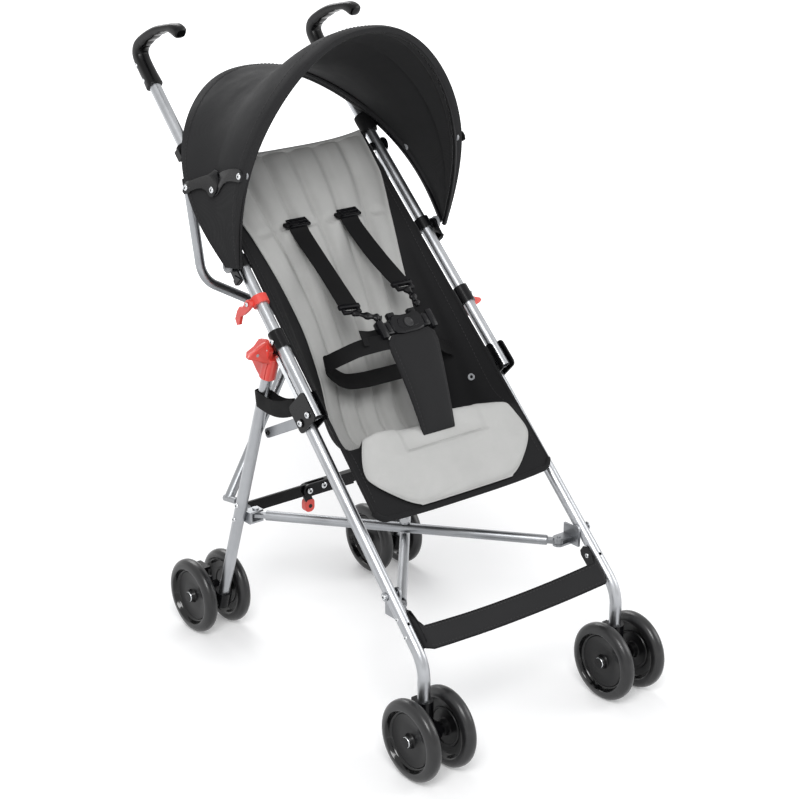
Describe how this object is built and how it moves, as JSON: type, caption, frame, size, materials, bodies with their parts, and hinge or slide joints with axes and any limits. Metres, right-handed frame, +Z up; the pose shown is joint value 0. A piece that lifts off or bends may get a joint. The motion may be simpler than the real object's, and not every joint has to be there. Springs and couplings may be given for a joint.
{
  "type": "umbrella stroller",
  "caption": "Folding umbrella stroller with tube frame, crossed braces, sling seat with harness, tilting canopy, hooked handles, swivel casters and twin wheels.",
  "frame": {"origin": "middle of the footprint on the ground", "axes": "+Z up, the child faces -Y, +X across"},
  "size_m": [0.4726, 0.8421, 1.0067],
  "materials": {
    "tube": "satin",
    "brace": "satin",
    "steel": "satin",
    "grip": "matte",
    "black_plastic": "matte",
    "red_plastic": "semi-gloss",
    "wheel": "semi-gloss",
    "black_cloth": "woven",
    "grey_cloth": "woven",
    "webbing": "woven",
    "button": "matte"
  },
  "bodies": {
    "left_side": {"left_push_tube": "tube", "left_grip": "grip", "left_knee_bracket": "black_plastic", "left_side_link": "steel", "left_hip_collar": "black_plastic", "seat_sling": "black_cloth", "back_pad": "grey_cloth", "front_pad": "grey_cloth", "harness": "webbing", "crotch_pad": "black_cloth", "buckle": "black_plastic", "left_canopy_clip": "black_plastic", "left_rear_clip": "black_plastic", "storage_clamp": "red_plastic"},
    "right_side": {"right_push_tube": "tube", "right_grip": "grip", "right_knee_bracket": "black_plastic", "right_side_link": "steel", "right_hip_collar": "black_plastic", "right_canopy_clip": "black_plastic", "right_rear_clip": "black_plastic"},
    "left_rear": {"left_rear_leg": "tube", "left_hinge_housing": "red_plastic", "left_rear_socket": "black_plastic"},
    "right_rear": {"right_rear_leg": "tube", "right_hinge_housing": "red_plastic", "right_rear_socket": "black_plastic"},
    "left_front": {"left_front_leg": "tube", "footrest": "black_cloth"},
    "right_front": {"right_front_leg": "tube"},
    "left_swivel": {"left_brace_swivel": "black_plastic"},
    "right_swivel": {"right_brace_swivel": "black_plastic"},
    "left_brace": {"left_rear_brace": "brace", "brace_pin": "steel"},
    "right_brace": {"right_rear_brace": "brace"},
    "left_yoke": {"left_front_yoke": "steel"},
    "right_yoke": {"right_front_yoke": "steel"},
    "left_bar": {"left_cross_bar": "brace"},
    "right_bar": {"right_cross_bar": "brace"},
    "left_caster": {"left_caster": "black_plastic"},
    "right_caster": {"right_caster": "black_plastic"},
    "left_brake": {"left_brake_lever": "black_plastic"},
    "right_brake": {"right_brake_lever": "black_plastic"},
    "left_link": {"left_lock_link": "black_plastic"},
    "right_link": {"right_lock_link": "black_plastic"},
    "lock_pedal": {"lock_pedal": "red_plastic"},
    "canopy": {"canopy_cloth": "black_cloth", "front_bow": "black_plastic", "rear_bow": "black_plastic", "canopy_struts": "black_plastic"},
    "storage_hook": {"storage_hook": "red_plastic"},
    "buckle_button": {"buckle_button": "button"},
    "wheel_fl_out": {"wheel_fl_out": "wheel"},
    "wheel_fl_in": {"wheel_fl_in": "wheel"},
    "wheel_fr_in": {"wheel_fr_in": "wheel"},
    "wheel_fr_out": {"wheel_fr_out": "wheel"},
    "wheel_rl_out": {"wheel_rl_out": "wheel"},
    "wheel_rl_in": {"wheel_rl_in": "wheel"},
    "wheel_rr_in": {"wheel_rr_in": "wheel"},
    "wheel_rr_out": {"wheel_rr_out": "wheel"}
  },
  "joints": [
    {"name": "fold", "type": "hinge", "parent": "left_side", "child": "left_rear", "pos_m": [-0.18177, 0.02974, 0.54387], "axis": [-0.9995, 0, 0.0325], "range_deg": [0, 13.49], "deforming": ["seat_sling", "back_pad", "front_pad", "harness", "crotch_pad", "canopy_cloth", "front_bow", "rear_bow", "canopy_struts", "footrest"]},
    {"name": "right_side_in", "type": "slide", "parent": "left_side", "child": "right_side", "axis": [-1, 0, 0], "range_m": [0, 0.05746]},
    {"name": "right_rear_swing", "type": "hinge", "parent": "right_side", "child": "right_rear", "pos_m": [0.18177, 0.02974, 0.54387], "axis": [-0.9995, 0, -0.0325], "range_deg": [0, 13.52]},
    {"name": "left_front_swing", "type": "hinge", "parent": "left_side", "child": "left_front", "pos_m": [-0.18472, -0.06064, 0.45322], "axis": [-0.9995, 0, 0.0325], "range_deg": [0, 32.94]},
    {"name": "left_brace_tilt", "type": "hinge", "parent": "left_side", "child": "left_swivel", "pos_m": [-0.17452, 0.22978, 0.76716], "axis": [-0.9995, 0, 0.0325], "range_deg": [0, 7.03]},
    {"name": "left_brace_swing", "type": "hinge", "parent": "left_swivel", "child": "left_brace", "pos_m": [-0.19529, 0.22978, 0.7605], "axis": [0, 0.9873, -0.1591], "range_deg": [0, 6.01]},
    {"name": "left_yoke_tilt", "type": "hinge", "parent": "left_front", "child": "left_yoke", "pos_m": [-0.18954, -0.26701, 0.24811], "axis": [-0.9997, 0, 0.0235], "range_deg": [-11.24, 0]},
    {"name": "left_bar_swing", "type": "hinge", "parent": "left_yoke", "child": "left_bar", "pos_m": [-0.157, -0.25001, 0.22], "axis": [0, 0, 1], "range_deg": [0, 8.26]},
    {"name": "left_caster_swivel", "type": "hinge", "parent": "left_front", "child": "left_caster", "pos_m": [-0.1914, -0.34661, 0.086], "axis": [0, 0, 1], "continuous": true},
    {"name": "wheel_fl_out_spin", "type": "hinge", "parent": "left_caster", "child": "wheel_fl_out", "pos_m": [-0.2239, -0.35861, 0.0625], "axis": [1, 0, 0], "continuous": true},
    {"name": "wheel_fl_in_spin", "type": "hinge", "parent": "left_caster", "child": "wheel_fl_in", "pos_m": [-0.1589, -0.35861, 0.0625], "axis": [1, 0, 0], "continuous": true},
    {"name": "wheel_rl_out_spin", "type": "hinge", "parent": "left_rear", "child": "wheel_rl_out", "pos_m": [-0.2162, 0.22939, 0.0625], "axis": [1, 0, 0], "continuous": true},
    {"name": "wheel_rl_in_spin", "type": "hinge", "parent": "left_rear", "child": "wheel_rl_in", "pos_m": [-0.1512, 0.22939, 0.0625], "axis": [1, 0, 0], "continuous": true},
    {"name": "left_brake_press", "type": "hinge", "parent": "left_rear", "child": "left_brake", "pos_m": [-0.1837, 0.25539, 0.0805], "axis": [-1, 0, 0], "range_deg": [0, 20]},
    {"name": "right_front_swing", "type": "hinge", "parent": "right_side", "child": "right_front", "pos_m": [0.18472, -0.06064, 0.45322], "axis": [-0.9995, 0, -0.0325], "range_deg": [0, 32.94]},
    {"name": "right_brace_tilt", "type": "hinge", "parent": "right_side", "child": "right_swivel", "pos_m": [0.17452, 0.22978, 0.76716], "axis": [-0.9995, 0, -0.0325], "range_deg": [0, 7.03]},
    {"name": "right_brace_swing", "type": "hinge", "parent": "right_swivel", "child": "right_brace", "pos_m": [0.19529, 0.24637, 0.75783], "axis": [0, -0.9873, 0.1591], "range_deg": [0, 6.01]},
    {"name": "right_yoke_tilt", "type": "hinge", "parent": "right_front", "child": "right_yoke", "pos_m": [0.18954, -0.26701, 0.24811], "axis": [-0.9997, 0, -0.0235], "range_deg": [-11.24, 0]},
    {"name": "right_bar_swing", "type": "hinge", "parent": "right_yoke", "child": "right_bar", "pos_m": [0.157, -0.25001, 0.22], "axis": [0, 0, -1], "range_deg": [0, 8.26]},
    {"name": "right_caster_swivel", "type": "hinge", "parent": "right_front", "child": "right_caster", "pos_m": [0.1914, -0.34661, 0.086], "axis": [0, 0, 1], "continuous": true},
    {"name": "wheel_fr_out_spin", "type": "hinge", "parent": "right_caster", "child": "wheel_fr_out", "pos_m": [0.2239, -0.35861, 0.0625], "axis": [1, 0, 0], "continuous": true},
    {"name": "wheel_fr_in_spin", "type": "hinge", "parent": "right_caster", "child": "wheel_fr_in", "pos_m": [0.1589, -0.35861, 0.0625], "axis": [1, 0, 0], "continuous": true},
    {"name": "wheel_rr_out_spin", "type": "hinge", "parent": "right_rear", "child": "wheel_rr_out", "pos_m": [0.2162, 0.22939, 0.0625], "axis": [1, 0, 0], "continuous": true},
    {"name": "wheel_rr_in_spin", "type": "hinge", "parent": "right_rear", "child": "wheel_rr_in", "pos_m": [0.1512, 0.22939, 0.0625], "axis": [1, 0, 0], "continuous": true},
    {"name": "right_brake_press", "type": "hinge", "parent": "right_rear", "child": "right_brake", "pos_m": [0.1837, 0.25539, 0.0805], "axis": [-1, 0, 0], "range_deg": [0, 20]},
    {"name": "left_link_lift", "type": "hinge", "parent": "left_rear", "child": "left_link", "pos_m": [-0.16252, 0.15112, 0.232], "axis": [0, -1, 0], "range_deg": [0, 44.98]},
    {"name": "right_link_lift", "type": "hinge", "parent": "right_rear", "child": "right_link", "pos_m": [0.16252, 0.15112, 0.232], "axis": [0, 1, 0], "range_deg": [0, 26.41]},
    {"name": "lock_pedal_turn", "type": "hinge", "parent": "right_link", "child": "lock_pedal", "pos_m": [-0.037, 0.15112, 0.232], "axis": [0, 1, 0], "range_deg": [0, 25]},
    {"name": "canopy_tilt", "type": "hinge", "parent": "left_side", "child": "canopy", "pos_m": [0, 0.11422, 0.65656], "axis": [1, 0, 0], "range_deg": [0, 18]},
    {"name": "storage_hook_turn", "type": "hinge", "parent": "left_side", "child": "storage_hook", "pos_m": [-0.17974, 0.06787, 0.60666], "axis": [0.9995, 0, -0.0325], "range_deg": [0, 40]},
    {"name": "buckle_press", "type": "slide", "parent": "left_side", "child": "buckle_button", "axis": [0, 0.6918, -0.7221], "range_m": [0, 0.002]}
  ],
  "couplings": [
    {"joint": "right_side_in", "follows": "fold", "m_per_rad": 0.24355},
    {"joint": "right_rear_swing", "follows": "fold", "ratio": 1},
    {"joint": "left_front_swing", "follows": "fold", "ratio": 2.4368},
    {"joint": "left_brace_tilt", "follows": "fold", "ratio": 0.52022},
    {"joint": "left_brace_swing", "follows": "fold", "ratio": 0.44478},
    {"joint": "left_yoke_tilt", "follows": "fold", "ratio": -0.8316},
    {"joint": "left_bar_swing", "follows": "fold", "ratio": 0.61127},
    {"joint": "right_front_swing", "follows": "fold", "ratio": 2.4368},
    {"joint": "right_brace_tilt", "follows": "fold", "ratio": 0.52022},
    {"joint": "right_brace_swing", "follows": "fold", "ratio": 0.44478},
    {"joint": "right_yoke_tilt", "follows": "fold", "ratio": -0.8316},
    {"joint": "right_bar_swing", "follows": "fold", "ratio": 0.61127},
    {"joint": "left_link_lift", "follows": "fold", "ratio": 3.3278},
    {"joint": "right_link_lift", "follows": "fold", "ratio": 1.954}
  ]
}
